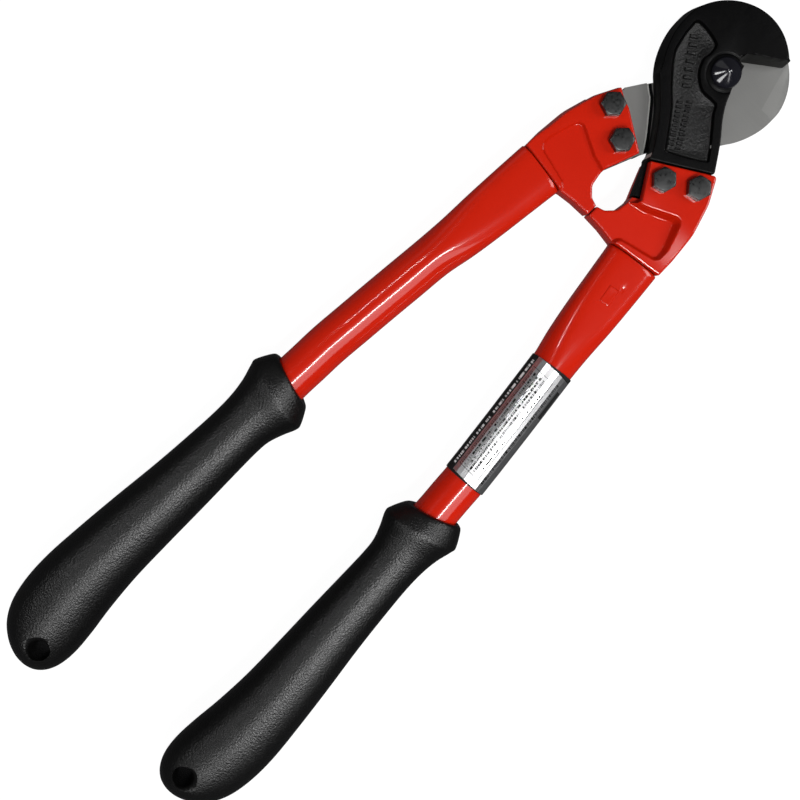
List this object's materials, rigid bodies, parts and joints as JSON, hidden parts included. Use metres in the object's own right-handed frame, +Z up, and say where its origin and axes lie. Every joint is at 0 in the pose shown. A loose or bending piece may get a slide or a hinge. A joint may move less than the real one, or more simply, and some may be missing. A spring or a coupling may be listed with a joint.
{
  "type": "bolt cutter",
  "caption": "Long-handled single-pivot cutter with two overlapping forged jaws, bolted forked heads, tubular steel handles and moulded grips with hang holes.",
  "frame": {"origin": "on the pivot axis, at the flat end of the pivot bolt, which is level with the undersides of the two grips and of the left head's bolts", "axes": "+Y along the tool from the grips to the jaws, +X towards the right handle, +Z up along the pivot axis to the domed head of the pivot bolt, with the tool lying on its side and its handles closed"},
  "size_m": [0.1452, 0.4534, 0.035],
  "materials": {
    "black_blade": "satin black forging with ground inner faces",
    "red_paint": "gloss",
    "grip_plastic": "fine pebbled, satin",
    "black_oxide": "black oxide, satin",
    "label_foil": "printed silver foil"
  },
  "bodies": {
    "right_half": {"front_blade": "black_blade", "right_head": "red_paint", "right_tube": "red_paint", "right_grip": "grip_plastic", "right_inner_bolt": "black_oxide", "right_inner_lock_washer": "black_oxide", "right_inner_nut": "black_oxide", "right_outer_bolt": "black_oxide", "right_outer_lock_washer": "black_oxide", "right_outer_nut": "black_oxide", "pivot_bolt": "black_oxide", "pivot_washer": "black_oxide", "pivot_nut": "black_oxide", "capacity_label": "label_foil"},
    "left_half": {"rear_blade": "black_blade", "left_head": "red_paint", "left_tube": "red_paint", "left_grip": "grip_plastic", "left_inner_bolt": "black_oxide", "left_inner_lock_washer": "black_oxide", "left_inner_nut": "black_oxide", "left_outer_bolt": "black_oxide", "left_outer_lock_washer": "black_oxide", "left_outer_nut": "black_oxide"}
  },
  "joints": [
    {"name": "jaw_pivot", "type": "hinge", "parent": "right_half", "child": "left_half", "pos_m": [0, 0, 0.0175], "axis": [0, 0, -1], "range_deg": [0, 65]}
  ]
}
